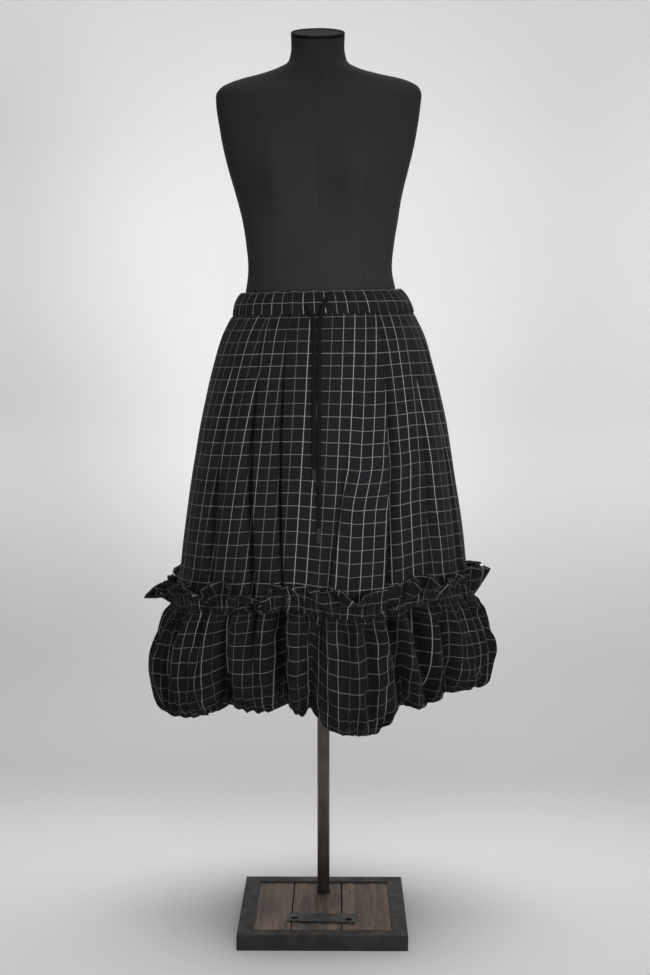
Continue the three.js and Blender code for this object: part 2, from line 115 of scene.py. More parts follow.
def alongRows(points):
    # distance travelled along each row from its first column
    step = np.linalg.norm(np.diff(points, axis=1), axis=-1)
    return np.concatenate([np.zeros((len(points), 1)), np.cumsum(step, axis=1)], axis=1)


def alongColumns(points):
    # the same down each column from its first row
    return alongRows(points.transpose(1, 0, 2)).T


def gridPiece(name, points, uv=None, ring=False, attributes=None):
    # mesh of quads through a grid of points in millimetres, [row, column, xyz]; a ring joins its last
    # column to its first, and uv holds metres of flat cloth at each quad's four corners
    rows, columns = points.shape[:2]
    index = np.arange(rows * columns).reshape(rows, columns)
    if ring:
        index = np.concatenate([index, index[:, :1]], axis=1)
    quads = np.stack([index[:-1, :-1], index[:-1, 1:], index[1:, 1:], index[1:, :-1]], axis=-1)
    mesh = bpy.data.meshes.new(name)
    mesh.from_pydata((points.reshape(-1, 3) * mm).tolist(), [], quads.reshape(-1, 4).tolist())
    mesh.polygons.foreach_set("use_smooth", np.ones(len(mesh.polygons), bool))
    if uv is not None:
        mesh.uv_layers.new(name="cut").data.foreach_set("uv", (uv * mm).astype(np.float32).ravel())
    for key, values in (attributes or {}).items():
        layer = mesh.attributes.new(key, "FLOAT_VECTOR", "POINT")
        layer.data.foreach_set("vector", (values * mm).astype(np.float32).ravel())
    mesh.validate()
    piece = bpy.data.objects.new(name, mesh)
    bpy.context.scene.collection.objects.link(piece)
    return piece


def turned(name, profile, columns, lean=0, tilted=0):
    # radius and height pairs swept round the upright axis, moved sideways and tilted towards the front
    angle = np.radians(np.linspace(0, 360, columns, endpoint=False))
    radius, z = np.array(profile, float).T[:, :, None]
    y = -radius * np.cos(angle)
    grid = np.stack([lean + radius * np.sin(angle), y, z + y * np.tan(np.radians(tilted))], axis=-1)
    return gridPiece(name, grid, ring=True)


def cornerUv(u, v):
    # u and v per grid point spread to the four corners of each quad
    both = np.stack([u, v], axis=-1)
    return np.stack([both[:-1, :-1], both[:-1, 1:], both[1:, 1:], both[1:, :-1]], axis=2)


def wall(piece, thickness, divided=0):
    # gives a sheet its thickness, inwards, with its quads divided this many times first
    if divided:
        finer = piece.modifiers.new("finer", "SUBSURF")
        finer.levels = finer.render_levels = divided
    shell = piece.modifiers.new("wall", "SOLIDIFY")
    shell.thickness = thickness * mm
    shell.offset = -1
    return piece


def dress(piece, material, slot, *nodes):
    # finish, body, slot (not used) and the nodes it stands for
    piece.data.materials.clear()
    piece.data.materials.append(material)
    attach(piece, "root")
    if nodes:
        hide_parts(*nodes)
    return piece


# camera

camera = {"x": 25.6, "y": -2766, "z": 1031, "turn": -0.0082, "down": 0.0858, "focal": 1500, "long": 975}


def makeCamera():
    # looks along the turn and down angles; the lens is the focal length in pixels on a 36 mm sensor
    sight = Vector((
        math.sin(camera["turn"]) * math.cos(camera["down"]),
        math.cos(camera["turn"]) * math.cos(camera["down"]),
        -math.sin(camera["down"]),
    ))
    data = bpy.data.cameras.new("camera")
    data.sensor_width = 36
    data.lens = data.sensor_width * camera["focal"] / camera["long"]
    data.clip_end = 50
    view = bpy.data.objects.new("camera", data)
    view.location = Vector((camera["x"], camera["y"], camera["z"])) * mm
    view.rotation_euler = sight.to_track_quat("-Z", "Y").to_euler()
    bpy.context.scene.collection.objects.link(view)
    bpy.context.scene.camera = view


makeCamera()
print("camera placed")

# materials


def isSocket(value):
    # true for a node's socket and false for a plain value
    return isinstance(value, bpy.types.NodeSocket)


def node(tree, kind, inputs=None, **settings):
    # shader node whose inputs are linked where they are sockets and set where they are values
    made = tree.nodes.new("ShaderNode" + kind)
    for name, value in settings.items():
        setattr(made, name, value)
    for key, value in (inputs or {}).items():
        if isSocket(value):
            tree.links.new(value, made.inputs[key])
        else:
            made.inputs[key].default_value = value
    return made


def maths(operation, *values):
    # one sum on one or two values, in the tree of whichever is a socket
    tree = next(value.id_data for value in values if isSocket(value))
    return node(tree, "Math", dict(enumerate(values)), operation=operation).outputs[0]


def times(a, b):
    # a * b
    return maths("MULTIPLY", a, b)


def plus(a, b):
    # a + b
    return maths("ADD", a, b)


def minus(a, b):
    # a - b
    return maths("SUBTRACT", a, b)


def blend(share, a, b):
    # colour a where share is 0 and b where it is 1
    inputs = {key: value if isSocket(value) else (*value, 1) for key, value in ((6, a), (7, b))}
    return node(share.id_data, "Mix", {"Factor": share, **inputs}, data_type="RGBA").outputs[2]


def rangeOf(value, low, high, toLow=0.0, toHigh=1.0):
    # toLow where value is below low, toHigh above high and a smooth step between
    inputs = {0: value, 1: low, 2: high, 3: toLow, 4: toHigh}
    return node(value.id_data, "MapRange", inputs, interpolation_type="SMOOTHSTEP").outputs[0]


def noiseOf(place, scale, detail=3, stretch=None):
    # noise from 0 to 1 at a scale in waves per metre, stretched by shares of it along x, y and z
    if stretch:
        place = node(place.id_data, "Mapping", {"Vector": place, "Scale": stretch}).outputs[0]
    return node(place.id_data, "TexNoise", {"Vector": place, "Scale": scale, "Detail": detail}).outputs[0]


def newFinish(name, **sockets):
    # material with a Principled shader whose even values are set on its own sockets
    material = bpy.data.materials.new(name)
    material.use_nodes = True
    tree = material.node_tree
    shader = tree.nodes["Principled BSDF"]
    for key, value in sockets.items():
        shader.inputs[key.replace("_", " ")].default_value = value
    return material, tree, shader


def finished(material, colour, height, strength, distance):
    # the material with its colour linked and its normal turned by the slope of the height
    tree = material.node_tree
    shader = tree.nodes["Principled BSDF"]
    bump = node(tree, "Bump", {"Height": height, "Strength": strength, "Distance": distance})
    tree.links.new(colour, shader.inputs["Base Color"])
    tree.links.new(bump.outputs[0], shader.inputs["Normal"])
    return material


check = {
    "pitch": 21.5, "rowPitch": 22.7, "line": 1.35, "acrossStart": -2.5, "downStart": 12.5,
    "levelShare": 0.52, "faintUpright": 0.26, "faintLevel": 0.6, "slubs": 900, "ribs": 330, "crinkles": 55,
    "ground": (0.0053, 0.0053, 0.0059), "navy": (0.0058, 0.0057, 0.0073), "chalk": (0.26, 0.26, 0.25),
}


def lineMask(along, pitch, start, seed, faint):
    # 1 on thin stripes a pitch apart, each with its own strength from a random number
    count = maths("DIVIDE", minus(along, (start - pitch / 2) * mm), pitch * mm)
    off = maths("ABSOLUTE", minus(maths("FRACT", count), 0.5))
    stripe = rangeOf(times(off, pitch), check["line"] * 0.32, check["line"] * 0.62, 1, 0)
    number = plus(maths("FLOOR", count), seed)
    random = node(along.id_data, "TexWhiteNoise", {"W": number}, noise_dimensions="1D").outputs["Value"]
    return times(stripe, rangeOf(random, 0.1, 0.95, faint, 1))


def checkCloth(name, strength=1.0):
    # windowpane check on the flat cloth's own metres: two sets of chalk lines on a navy-black
    # plain weave, each line broken by slubs; fine ribs both ways are the weave, and a strength
    # under 1 darkens all of it as painted shade, making a shaded copy of the same cloth
    material, tree, _ = newFinish(name, Roughness=0.88, Sheen_Weight=0.03, Sheen_Roughness=0.4,
                                  Specular_IOR_Level=0.12)
    flat = node(tree, "UVMap", uv_map="cut").outputs[0]
    parts = node(tree, "SeparateXYZ", {0: flat})
    across, down = parts.outputs[0], parts.outputs[1]
    upright = lineMask(across, check["pitch"], check["acrossStart"], 3, check["faintUpright"])
    level = lineMask(down, check["rowPitch"], check["downStart"], 41, check["faintLevel"])
    slub = noiseOf(flat, check["slubs"], 2)
    lines = maths("MAXIMUM", upright, times(level, check["levelShare"]))
    lines = times(lines, rangeOf(slub, 0.3, 0.62, 0.55, 1.0))
    tint = rangeOf(noiseOf(flat, 9, 2), 0.35, 0.65)
    # a strength under 1 scales the ground, the navy and the lines down: painted shade
    dark, navy = (tuple(strength * value for value in check[key]) for key in ("ground", "navy"))
    colour = blend(times(lines, strength), blend(tint, dark, navy), check["chalk"])
    rib = {"Vector": flat, "Scale": check["ribs"], "Distortion": 0.6, "Detail": 1}
    ribs = [node(tree, "TexWave", rib, bands_direction=way).outputs[1] for way in "XY"]
    weave = plus(times(ribs[0], ribs[1]), times(slub, 0.8))
    height = plus(weave, times(noiseOf(flat, check["crinkles"], 3), 2.2))
    return finished(material, colour, plus(height, lines), 0.45, 0.0006)


def tapeFinish(name, colour, roughness):
    # flat plaited tape: fine herringbone ribs on Object coordinates
    material, tree, _ = newFinish(name, Roughness=roughness, Sheen_Weight=0.02, Specular_IOR_Level=0.1)
    place = node(tree, "TexCoord").outputs["Object"]
    plait = {"Vector": place, "Scale": 420, "Distortion": 2, "Detail": 2}
    rib = node(tree, "TexWave", plait, bands_direction="DIAGONAL").outputs[1]
    shade = rangeOf(noiseOf(place, 160, 3), 0.3, 0.7)
    dark = tuple(0.7 * value for value in colour)
    return finished(material, blend(shade, dark, colour), rib, 0.5, 0.0004)


def jersey():
    # fine knit: upright stretched noise on Object coordinates, with a faint groove where the least of
    # the three seam distances is near 0
    material, tree, _ = newFinish("form_jersey", Roughness=0.85, Sheen_Weight=0.02, Sheen_Roughness=0.4,
                                  Specular_IOR_Level=0.12)
    place = node(tree, "TexCoord").outputs["Object"]
    knit = noiseOf(place, 1400, 2, (1, 1, 0.5))
    cloudy = noiseOf(place, 14, 3)
    distances = node(tree, "Attribute", attribute_name="seams").outputs["Vector"]
    seams = node(tree, "SeparateXYZ", {0: distances})
    nearest = maths("ABSOLUTE", seams.outputs[0])
    for output in seams.outputs[1:]:
        nearest = maths("MINIMUM", nearest, maths("ABSOLUTE", output))
    groove = rangeOf(nearest, 0.0004, 0.0016, 1, 0)
    ground = blend(cloudy, (0.0155, 0.016, 0.0165), (0.0185, 0.019, 0.0195))
    colour = blend(times(groove, 0.55), ground, (0.012, 0.012, 0.013))
    return finished(material, colour, minus(times(knit, 0.5), groove), 0.35, 0.0005)


def satin():
    # smooth black lining on the neck's top: two near blacks mixed by a soft noise
    material, tree, _ = newFinish("neck_satin", Roughness=0.75, Specular_IOR_Level=0.08)
    place = node(tree, "TexCoord").outputs["Object"]
    shade = rangeOf(noiseOf(place, 60, 3), 0.3, 0.7)
    colour = blend(shade, (0.0025, 0.0025, 0.003), (0.004, 0.004, 0.0045))
    return finished(material, colour, noiseOf(place, 900, 2), 0.2, 0.0003)


def steel(name, dark, light, roughness):
    # painted steel: the dark paint gives way to the light one in soft patches and in fine scratches
    material, tree, shader = newFinish(name, Metallic=0.4)
    place = node(tree, "TexCoord").outputs["Object"]
    patches = rangeOf(noiseOf(place, 22, 6), 0.35, 0.7)
    scratches = rangeOf(noiseOf(place, 240, 4, (1, 0.08, 0.3)), 0.56, 0.72)
    share = maths("MAXIMUM", times(patches, 0.6), times(scratches, 0.45))
    rough = rangeOf(noiseOf(place, 60, 4), 0.3, 0.7, roughness - 0.07, roughness + 0.1)
    tree.links.new(rough, shader.inputs["Roughness"])
    height = plus(noiseOf(place, 500, 3), scratches)
    return finished(material, blend(share, dark, light), height, 0.15, 0.0003)


def wood(name, shift):
    # dark stained board: brown mixed by noise drawn out front to back, clouded, with black pores where a
    # finer drawn-out noise is high; the shift gives each board its own grain
    material, tree, _ = newFinish(name, Roughness=0.58, Specular_IOR_Level=0.35)
    own = {"Vector": node(tree, "TexCoord").outputs["Object"], "Location": (shift, shift * 2, 0)}
    place = node(tree, "Mapping", own).outputs[0]
    grain = noiseOf(place, 60, 6, (1.0, 0.09, 1.0))
    fibre = noiseOf(place, 420, 4, (1.0, 0.035, 1.0))
    cloud = noiseOf(place, 9, 3)
    warm = blend(rangeOf(grain, 0.32, 0.68), (0.082, 0.054, 0.037), (0.262, 0.182, 0.13))
    warm = blend(times(rangeOf(cloud, 0.35, 0.7), 0.5), warm, (0.16, 0.099, 0.062))
    pores = times(rangeOf(fibre, 0.56, 0.66), 0.75)
    colour = blend(pores, warm, (0.016, 0.012, 0.01))
    return finished(material, colour, minus(times(grain, 0.8), pores), 0.5, 0.0008)


clothFinish = checkCloth("check_cloth")
# the same cloth darkened to 0.74 as painted shade, for the frill and the bubble hem
shadedHemFinish = checkCloth("check_cloth_hem_painted_shade", 0.74)
tapeCloth = tapeFinish("drawstring_tape", (0.0035, 0.0035, 0.0038), 0.88)
tipFilm = tapeFinish("tape_tip", (0.014, 0.0142, 0.015), 0.45)
print("materials ready")

# drawstring

tape = {"width": 7.4, "thickness": 2.2, "tipWidth": 7.8, "tipThickness": 2.8, "gap": 0.3, "corners": 14,
        "step": 4}
strands = {
    "left": {"tip": 18, "route": [
        [-30, -113.3, 1127], [-27, -115.9, 1121], [-22.5, -118.7, 1113], [-18.5, -121.7, 1104],
        [-16.5, -125.9, 1092], [-15.5, -134.1, 1068], [-15, -144.2, 1037], [-15, -153.7, 1000],
        [-15, -162.6, 962], [-14.8, -171, 920], [-14.5, -178.8, 878], [-14.5, -184.7, 840],
    ]},
    "right": {"tip": 26, "route": [
        [9, -106.2, 1142], [6.5, -110.7, 1135], [3, -115.4, 1126], [-1, -118.8, 1114],
        [-4, -122.3, 1104], [-5.5, -126.6, 1091], [-6, -136.4, 1062], [-6, -147.4, 1027],
        [-6, -156.8, 989], [-6, -165.7, 950], [-6, -174.1, 905], [-6, -181.6, 860],
        [-6, -188.3, 813], [-6.3, -194, 766], [-6.5, -196.6, 739],
    ]},
}


def alongRoute(route, step):
    # the route as a smooth curve by distance, with a point every step
    route = np.array(route, float)
    far = np.concatenate([[0], np.cumsum(np.linalg.norm(np.diff(route, axis=0), axis=1))])
    at = np.linspace(0, far[-1], max(3, round(far[-1] / step) + 1))
    return np.stack([through(at, far, route[:, axis]) for axis in range(3)], axis=1)


def tapeTube(name, path, width, thickness, taper=0.0):
    # a rounded oblong carried along the path, its width across the front, closed by shrinking
    # its first and last sections to a point
    ahead = unit(np.gradient(path, axis=0))
    across = unit(np.cross(ahead, np.array([0, -1.0, 0])))
    out = np.cross(across, ahead)
    around = np.linspace(0, 2 * np.pi, tape["corners"], endpoint=False)
    side = np.sign(np.cos(around)) * np.abs(np.cos(around)) ** 0.6 * width / 2
    deep = np.sign(np.sin(around)) * np.abs(np.sin(around)) ** 0.7 * thickness / 2
    size = np.ones(len(path))
    size[-2:] -= taper
    section = side[None, :, None] * across[:, None] + deep[None, :, None] * out[:, None]
    rings = path[:, None] + size[:, None, None] * section
    ends = [np.repeat(path[i][None, None], tape["corners"], axis=1) for i in (0, -1)]
    rings = np.concatenate([ends[0], rings, ends[1]], axis=0)
    # rings run along the tape; the columns turn so that faces look outwards
    return gridPiece(name, rings[:, ::-1], ring=True)


def makeStrands():
    # each end: a tube along its route, and a film tip straight on from it after a small gap
    for side, strand in strands.items():
        path = alongRoute(strand["route"], tape["step"])
        cord = tapeTube(f"drawstring_tape_{side}", path, tape["width"], tape["thickness"])
        dress(cord, tapeCloth, "drawstring_tape", f"drawstring_{side}")
        heading = unit(path[-1] - path[-2])
        tipPath = path[-1] + heading * np.linspace(tape["gap"], strand["tip"], 8)[:, None]
        tip = tapeTube(f"tape_tip_{side}", tipPath, tape["tipWidth"], tape["tipThickness"], 0.08)
        dress(tip, tipFilm, "tape_tip", f"drawstring_tip_{side}")


makeStrands()
print("drawstring made")

# skirt panels

waist = {"height": 1112, "right": 3.5, "front": -3}
panel = {"columns": 340, "rows": 88, "thickness": 0.7, "gap": 0.3, "rest": -0.8, "lobe": 3.5, "gather": 1.7,
         "gatherWaves": 84, "gatherFade": 55, "tight": 0.07, "crowdWide": 2.4, "crowdExtra": 5,
         "flank": 2.4, "narrow": 0.45, "lip": 0.28, "lipAt": 1.7, "lipWide": 1.3, "thin": 0.14,
         "thinReach": 60, "sideSeam": 0.08, "feet": 16, "tucked": 2.5, "inset": 3.5, "insetFade": 3}
sections = table("z half front back",
    (588, 282, 213, 207), (640, 269, 206, 201), (700, 261, 200, 196), (780, 250, 191, 188),
    (860, 237, 180, 178), (940, 222, 166, 166), (1019, 203, 148, 151), (1074, 186, 132, 137),
    (1112, 167, 117, 120))
seamLine = table("angle z",
    (-90, 580), (-47, 585), (-10, 597), (8, 581), (20, 584), (38, 602), (90, 597), (150, 586),
    (205, 594), (270, 580))

# hanging creases: degrees from centre front at the waist and at the seam, depth, width of the flank
# on each side, the heights where it starts and is full, and its share of the cloth taken in at the waist
creases = table("waist seam depth left right start full hidden",
    (-54, -47, 18, 12, 5, 960, 760, 0.28),
    (-36, -24, 44, 17, 5, 1030, 800, 0.36),
    (-20.5, -13.3, 34, 9, 4, 1105, 760, 0.24),
    (19.4, 0.6, 10, 8, 4, 875, 760, 0),
    (35, 23, 26, 4, 13, 1105, 760, 0.36),
    (57, 45, 10, 7, 10, 1060, 800, 0.27),
    (74, 67, 16, 6, 11, 1040, 760, 0.25),
    (106, 112, 22, 12, 5, 1080, 740, 0.24),
    (128, 137, 13, 6, 11, 1060, 800, 0.26),
    (150, 156, 32, 14, 5, 1050, 780, 0.3),
    (173, 177, 12, 8, 7, 1020, 800, 0.1),
    (197, 192, 18, 5, 12, 1090, 780, 0.24),
    (219, 212, 34, 13, 5, 1060, 760, 0.34),
    (242, 236, 14, 6, 11, 1060, 800, 0.24),
    (260, 256, 13, 10, 6, 1000, 760, 0.12))


def tilt(angle):
    # how much higher the waist is at an angle: it rises by a cosine towards its right and back
    return waist["right"] * np.sin(np.radians(angle)) + waist["front"] * np.cos(np.radians(angle))


def seamHeight(angle):
    # straight lines between the heights of the lower seam
    return np.interp(wrapped(angle), seamLine["angle"], seamLine["z"])


def oval(angle, half, front, back):
    # x = half sin, y = -depth cos with the front's or the back's depth, and the outward normal
    s, c = np.sin(np.radians(angle)), np.cos(np.radians(angle))
    deep = np.where(c > 0, front, back)
    point = np.stack([half * s, -deep * c], axis=-1)
    return point, unit(np.stack([s / half, -c / deep], axis=-1))


def skirtOval(angle, z):
    # the skirt's oval and its outward normal at any height
    return oval(angle, *columnsAt(z, sections, "z", "half", "front", "back"))


def crowded(low, high, count, middles, width, extra):
    # count + 1 places from low to high at even steps of a running total, which grows faster by
    # extra * exp(-(distance / width)^2) round each of the middles
    fine = np.linspace(low, high, 4000)
    weight = 1 + sum(extra * np.exp(-((fine - middle) / width) ** 2) for middle in middles)
    share = np.concatenate([[0], np.cumsum((weight[1:] + weight[:-1]) / 2)])
    return np.interp(np.linspace(0, share[-1], count + 1), share, fine)


def trough(s, left, right, power=1.4):
    # 1 at the bottom of a crease and falling as exp(-|s / flank|^power), each side with its own flank
    flank = np.where(s < 0, left, right)
    return np.exp(-np.abs(s / flank) ** power)


def panelGrid(middle):
    # rows run from the seam up to the waist and columns across the panel, following the creases;
    # each point is the oval's, moved in by the lobes, the creases and the fine gathers at the waist,
    # the lip on each crease's narrow flank leans over it, and the top edge slips in behind the waistband
    mine = np.abs(apart(creases["waist"], middle)) < 90
    rows = {key: values[mine] for key, values in creases.items()}
    folds = apart(rows["waist"], middle)
    edge = 90 - panel["sideSeam"]
    place = crowded(-edge, edge, panel["columns"], folds, panel["crowdWide"], panel["crowdExtra"])
    shift = np.interp(place, [-90, *folds, 90], [0, *(rows["seam"] - rows["waist"]), 0])
    bottom = seamHeight(middle + place + shift) + panel["gap"] / 2
    top = waist["height"] + panel["tucked"] + tilt(middle + place)
    up = np.linspace(0, 1, panel["rows"] + 1)[:, None]
    z = mix(bottom, top, up)
    low = np.clip((waist["height"] - z) / (waist["height"] - sections["z"][0]), 0, 1)
    angle = middle + place + shift * low
    point, normal = skirtOval(angle, z)
    arc = alongRows(raised(point, 0 * z))
    arc = arc - eachRow(0, place, arc)[:, None]
    marks = [-edge, *folds, edge]
    part = np.interp(place, marks, np.arange(len(marks))) % 1
    lean = 0 * arc
    out = panel["rest"] - panel["lobe"] * (0.3 + 0.7 * low) * (1 - (4 * part * (1 - part)) ** 0.6)
    for i, fold in enumerate(folds):
        spot = eachRow(fold, place, arc)[:, None]
        start, left, right = rows["start"][i], rows["left"][i], rows["right"][i]
        grown = 1 - ease(z, rows["full"][i], start)
        faint = panel["thin"] * (1 - ease(z, start, start + panel["thinReach"]))
        deep = rows["depth"][i] * np.maximum(grown, faint)
        wide = mix(panel["narrow"], 1, grown)
        out = out - deep * trough(arc - spot, left * wide, right * wide, panel["flank"])
        lip = min(left, right) * (1 if right < left else -1) * wide
        beyond = (arc - spot - panel["lipAt"] * lip) / (panel["lipWide"] * lip)
        lean = lean - panel["lip"] * deep * np.sign(lip) * np.exp(-beyond ** 2)
    turn = middle + place
    near = np.exp(-(top - z) / panel["gatherFade"])
    wave = np.abs(np.sin(np.radians(turn) * panel["gatherWaves"] / 2 + turns(turn, 7, 5)))
    uneven = 0.75 + 0.5 * turns(turn, 11, 8)
    out = out - panel["inset"] * np.exp(-(top - z) / panel["insetFade"])
    out = out - panel["gather"] * near * uneven * (1 - wave ** 0.7)
    out = out + 0.5 * turns(turn, 19, 3) * np.sin(z / 31 + 2 * turns(turn, 5, 4))
    side = np.stack([-normal[..., 1], normal[..., 0]], axis=-1)
    point = point + normal * out[..., None] + side * lean[..., None]
    return raised(point, z), arc, place, rows, angle


def panelUv(grid, arc, place, rows, middle):
    # across: distance along the row from the centre, a little tight at the waist, plus the cloth taken
    # in at each crease between it and the centre, which is what the crease itself gives up higher up
    # and its share of the panel's narrowing; down: distance from the waist along the middle column
    run = alongRows(grid)
    run = run - eachRow(0, place, run)[:, None]
    height = np.linspace(0, 1, len(grid))[:, None]
    run = run * (1 + panel["tight"] * height)
    marks = apart(rows["waist"], middle)
    cell = (place[1:] + place[:-1]) / 2
    extra = np.zeros((len(grid), len(cell)))
    for side, column in ((-1, 0), (1, -1)):
        mine = (marks * side) > 0
        order = np.argsort(np.abs(marks[mine]))
        mark, hidden = marks[mine][order], rows["hidden"][mine][order]
        share = hidden / rows["hidden"][mine].sum()
        ends = np.array([0, *(mark[1:] + mark[:-1]) / 2, place[column]])
        folded = np.diff(eachRow(ends, place, np.abs(run) - np.abs(arc)), axis=1)
        given = (folded[0] - folded) * (share > 0)
        reach = np.abs(run[:, column])
        narrowing = reach.max() - reach - given.sum(axis=1)
        taken = given + narrowing[:, None] * share
        for i in range(len(mark)):
            extra = extra + side * taken[:, i:i + 1] * ((cell - mark[i]) * side > 0)
    down = alongColumns(grid)[:, len(place) // 2]
    down = (down[-1] - down)[:, None] + 0 * run
    uv = cornerUv(run, -down)
    uv[..., 0] += np.stack([extra[:-1], extra[:-1], extra[1:], extra[1:]], axis=-1)
    return uv, (np.ptp(run[0]) * mm, np.ptp(down[:, 0]) * mm)


def makePanels():
    # both panels, and the angles and points of their lowest rows, by angle all the way round
    seam = []
    for name, middle in (("front", 0), ("back", 180)):
        grid, arc, place, rows, angle = panelGrid(middle)
        uv, flat = panelUv(grid, arc, place, rows, middle)
        cloth = gridPiece(f"skirt_panel_{name}", grid, uv)
        wall(cloth, panel["thickness"])
        dress(cloth, clothFinish, "check_cloth", f"skirt_{name}")
        seam.append((angle[0], grid[:panel["feet"]]))
    angles = np.concatenate([item[0] for item in seam])
    points = np.concatenate([item[1] for item in seam], axis=1)
    order = np.argsort(angles)
    return angles[order], points[:, order]


seamAngles, panelFeet = makePanels()
seamPoints = panelFeet[0]
print("skirt panels made")

# waistband

band = {"columns": 720, "thickness": 0.9, "height": 42, "lean": -4.5, "ripple": 1.9, "waves": 62,
        "calmFront": 0.35, "calmReach": 22, "flat": (1.05, 0.084), "stretch": 1.09, "checkAcross": 7,
        "checkUp": 15}
bandProfile = table("row half front back z",
    (0, 166, 116, 119, 0.6), (0.25, 164.5, 114.5, 117.5, 9), (0.55, 160, 110.5, 113, 23),
    (0.8, 153.5, 104.5, 105, 34), (1, 147.5, 100, 98.8, 40.3), (1.08, 145.2, 97.9, 96.7, 41.8),
    (1.16, 142.6, 95.6, 94.6, 40.8), (1.5, 144.4, 97.2, 95.5, 30), (2.1, 152.6, 103.6, 105.5, 12),
    (2.4, 157.5, 107.5, 110, 3))


def makeBand():
    # a strip folded over at the top: the profile's ovals with upright puckers whose strength
    # and spacing wander round the waist, fading into the fold inside
    angle = np.linspace(-90, 270, band["columns"], endpoint=False)
    fold, inside = np.linspace(1, 1.16, 7)[1:], np.linspace(1.16, 2.4, 10)[1:]
    row = np.concatenate([np.linspace(0, 1, 15), fold, inside])[:, None]
    half, front, back, z = columnsAt(row, bandProfile, "row", "half", "front", "back", "z")
    point, normal = oval(angle, half, front, back)
    wander = 0.25 * np.sin(row * 4 + turns(angle, 13, 2))
    phase = np.radians(angle) * band["waves"] / 2 + 1.1 * turns(angle, 9, 21) + wander
    calm = 1 - band["calmFront"] * np.exp(-(apart(angle, 0) / band["calmReach"]) ** 2)
    strong = np.clip(0.75 + 0.6 * turns(angle, 8, 25), 0.15, 1.5) * calm
    edge = 0.75 + 0.5 * np.cos(np.clip(row, 0, 1) * 2 * np.pi)
    pucker = (np.abs(np.sin(phase)) ** 0.7 - 0.75) * strong * edge * (1 - ease(row, 1.05, 1.2))
    out = band["ripple"] * pucker
    point = point + normal * out[..., None]
    point[..., 0] += band["lean"] * np.clip(z / band["height"], 0, 1)
    scallop = 0.7 * turns(angle, 27, 14) * np.clip(row, 0, 1)
    grid = raised(point, waist["height"] + z + tilt(angle) + scallop)
    closed = np.concatenate([grid, grid[:, :1]], axis=1)
    run = alongRows(closed)[4] * band["stretch"]
    sway = 0.8 * np.sin(row * 2.5 + 3 * turns(np.append(angle, 270), 10, 33)) * np.clip(row, 0, 1)
    across = run + band["checkAcross"] + sway
    uv = cornerUv(across, alongColumns(closed)[:, :1] + band["checkUp"] + 0 * across)
    cloth = wall(gridPiece("waistband_cloth", grid, uv, ring=True), band["thickness"])
    dress(cloth, clothFinish, "check_cloth", "waistband")


makeBand()
print("waistband made")

# bubble hem

bubble = {"columns": 220, "rows": 54, "thickness": 0.8, "cut": 2350, "drop": 320, "notch": 440, "fade": 200,
          "roundness": 2.1, "notchSwell": 0.05, "gap": 0.3, "firm": 0.4, "deepFirm": 0.85, "tuckScale": 1.3,
          "gather": 10, "fold": 15, "bunch": 17, "lumps": 52, "creased": 4.5, "creaseWide": 0.42,
          "creaseWays": 10}
bubbleCloth = {"frames": 18, "apart": 1.6, "settings": {
    "quality": 5, "mass": 0.25, "air_damping": 1, "tension_stiffness": 18, "compression_stiffness": 18,
    "shear_stiffness": 5, "bending_stiffness": 0.2, "use_pressure": True, "uniform_pressure_force": 40}}
puffs = table("start end swell low",
    (-100, -37, 46, 382), (-37, -13.5, 33, 412), (-13.5, -4, 31, 412), (-4, 29, 44, 376),
    (29, 51, 37, 413), (51, 93, 45, 430), (93, 128, 43, 398), (128, 150, 36, 412),
    (150, 189, 45, 386), (189, 212, 36, 408), (212, 260, 45, 390))
# tucks between and across the puffs: degrees high up and low down, depth, degrees to each flank,
# and the rows where each one starts and ends; small ones are strewn along the bottom as well
tucks = table("top bottom depth left right start end",
    (-62, -64, 18, 2.2, 1.6, 0, 0.75), (-49, -52, 9, 1.5, 2, 0, 0.35), (-37, -38, 20, 1.8, 2.4, 0, 0.8),
    (-29, -36, 15, 2.2, 1.4, 0.3, 0.7), (-21.4, -22.8, 16, 1.4, 2, 0, 0.75),
    (-17.5, -15, 44, 3.4, 3.2, 0, 0.9), (-5.7, -7.1, 17, 1.3, 1.6, 0, 0.8),
    (-2, -4, 20, 1.5, 1.5, 0.08, 0.7), (7, 4.5, 9, 1.6, 1.2, 0, 0.3),
    (15.4, 16.2, 18, 1.5, 2.3, 0.04, 0.62), (20, 21.5, 13, 1.2, 1.7, 0.2, 0.52),
    (25.5, 29, 30, 1.8, 1.8, 0.04, 0.85), (35.5, 41.5, 44, 3.2, 3.2, 0, 0.85),
    (46, 50.5, 20, 1.8, 1.6, 0.12, 0.85), (59, 64, 12, 1.4, 2.4, 0, 0.6),
    (75, 72, 14, 2.4, 1.5, 0.1, 0.75), (96, 97, 22, 2, 1.6, 0, 0.8), (111, 109, 13, 1.5, 2.2, 0, 0.45),
    (125, 128, 32, 2.2, 2.4, 0, 0.85), (138, 139, 14, 1.6, 1.3, 0.1, 0.7),
    (149, 151, 30, 2.2, 2, 0, 0.85), (161, 165, 12, 1.4, 2, 0, 0.4),
    (176, 174, 17, 2.3, 1.5, 0.05, 0.65), (190, 188, 30, 2, 2.4, 0, 0.85),
    (201, 202, 13, 1.4, 1.6, 0.15, 0.7), (212, 213, 32, 2.2, 2, 0, 0.85),
    (226, 229, 16, 1.6, 2.3, 0, 0.55), (243, 240, 18, 2.2, 1.6, 0.05, 0.75),
    (259, 260, 26, 2, 2, 0, 0.8))
bubbleProfile = table("row out down",
    (0, 0, 0), (0.11, 0.36, 0.08), (0.22, 0.7, 0.25), (0.33, 0.94, 0.45), (0.44, 1, 0.66),
    (0.56, 0.82, 0.86), (0.67, 0.4, 0.98), (0.78, -0.15, 1), (0.89, -0.62, 0.9), (1, -0.95, 0.7))


def seamRing(angle):
    # the skirt panels' lower edge at these angles, by straight lines between its points
    turn = wrapped(angle)
    return np.stack([np.interp(turn, seamAngles, seamPoints[:, axis]) for axis in range(3)], axis=-1)


